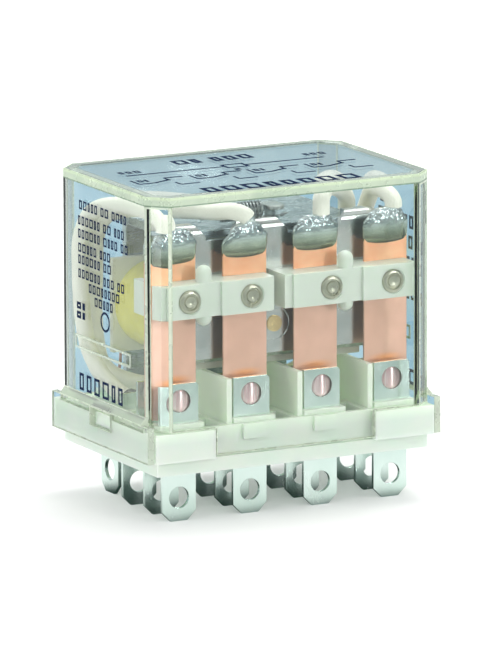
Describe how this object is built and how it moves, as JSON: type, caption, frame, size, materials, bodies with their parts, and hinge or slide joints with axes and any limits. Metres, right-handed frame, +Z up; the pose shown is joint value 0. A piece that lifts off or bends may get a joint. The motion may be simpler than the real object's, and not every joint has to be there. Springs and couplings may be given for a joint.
{
  "type": "plug-in relay",
  "caption": "Upright plug-in power relay with changeover poles under a clear clip-on cover and flat blade terminals below.",
  "frame": {"origin": "centre of the footprint, level with the tips of the blades", "axes": "+Z up along the blades towards the cover's top, +X along the row of poles, -Y towards the side with the normally closed contacts"},
  "size_m": [0.0414, 0.0274, 0.0418],
  "materials": {
    "base_plastic": "moulded, slightly translucent mint white",
    "clear_cover": "clear moulded, blue-grey tint",
    "tinned_metal": "tin plated strip",
    "contact_copper": "turned face",
    "contact_silver": "silver alloy",
    "copper_strip": "rolled copper alloy",
    "carrier_plastic": "moulded off-white",
    "rivet_steel": "headed",
    "nickel_steel": "nickel plated, satin",
    "brass": "turned",
    "spring_steel": "bright wire",
    "enamelled_copper": "enamelled wire",
    "yellow_tape": "polyester tape",
    "white_sleeve": "woven sleeve",
    "solder": "bright solder",
    "print_ink": "pad print, dark navy"
  },
  "bodies": {
    "root": {"base": "base_plastic", "cover": "clear_cover", "nc_terminal_1": "tinned_metal", "nc_terminal_2": "tinned_metal", "nc_terminal_3": "tinned_metal", "nc_terminal_4": "tinned_metal", "no_terminal_1": "tinned_metal", "no_terminal_2": "tinned_metal", "no_terminal_3": "tinned_metal", "no_terminal_4": "tinned_metal", "com_terminal_1": "tinned_metal", "com_terminal_2": "tinned_metal", "com_terminal_3": "tinned_metal", "com_terminal_4": "tinned_metal", "coil_terminal_left": "tinned_metal", "coil_terminal_right": "tinned_metal", "nc_contact_1": "contact_copper", "nc_contact_2": "contact_copper", "nc_contact_3": "contact_copper", "nc_contact_4": "contact_copper", "no_contact_1": "contact_copper", "no_contact_2": "contact_copper", "no_contact_3": "contact_copper", "no_contact_4": "contact_copper", "pigtail_1": "white_sleeve", "pigtail_2": "white_sleeve", "pigtail_3": "white_sleeve", "pigtail_4": "white_sleeve", "return_spring": "spring_steel", "spring_bracket": "nickel_steel", "yoke": "nickel_steel", "core": "nickel_steel", "bobbin": "carrier_plastic", "coil_winding": "enamelled_copper", "coil_tape": "yellow_tape", "coil_lead_left": "enamelled_copper", "coil_lead_right": "enamelled_copper", "lower_solder": "solder"},
    "moving_armature": {"armature": "nickel_steel", "residual_pin": "brass", "carrier_left": "carrier_plastic", "carrier_right": "carrier_plastic", "carrier_rivets": "rivet_steel", "contact_strip_1": "copper_strip", "contact_strip_2": "copper_strip", "contact_strip_3": "copper_strip", "contact_strip_4": "copper_strip", "moving_contact_1": "contact_silver", "moving_contact_2": "contact_silver", "moving_contact_3": "contact_silver", "moving_contact_4": "contact_silver", "strip_solder_1": "solder", "strip_solder_2": "solder", "strip_solder_3": "solder", "strip_solder_4": "solder"}
  },
  "joints": [
    {"name": "armature_hinge", "type": "hinge", "parent": "root", "child": "moving_armature", "pos_m": [0, -0.0064, 0.0347], "axis": [1, 0, 0], "range_deg": [0, 3.6], "stiffness_Nm_per_rad": 0.02, "springref_deg": -5.73, "deforming": ["return_spring", "pigtail_1", "pigtail_2", "pigtail_3", "pigtail_4"]}
  ]
}
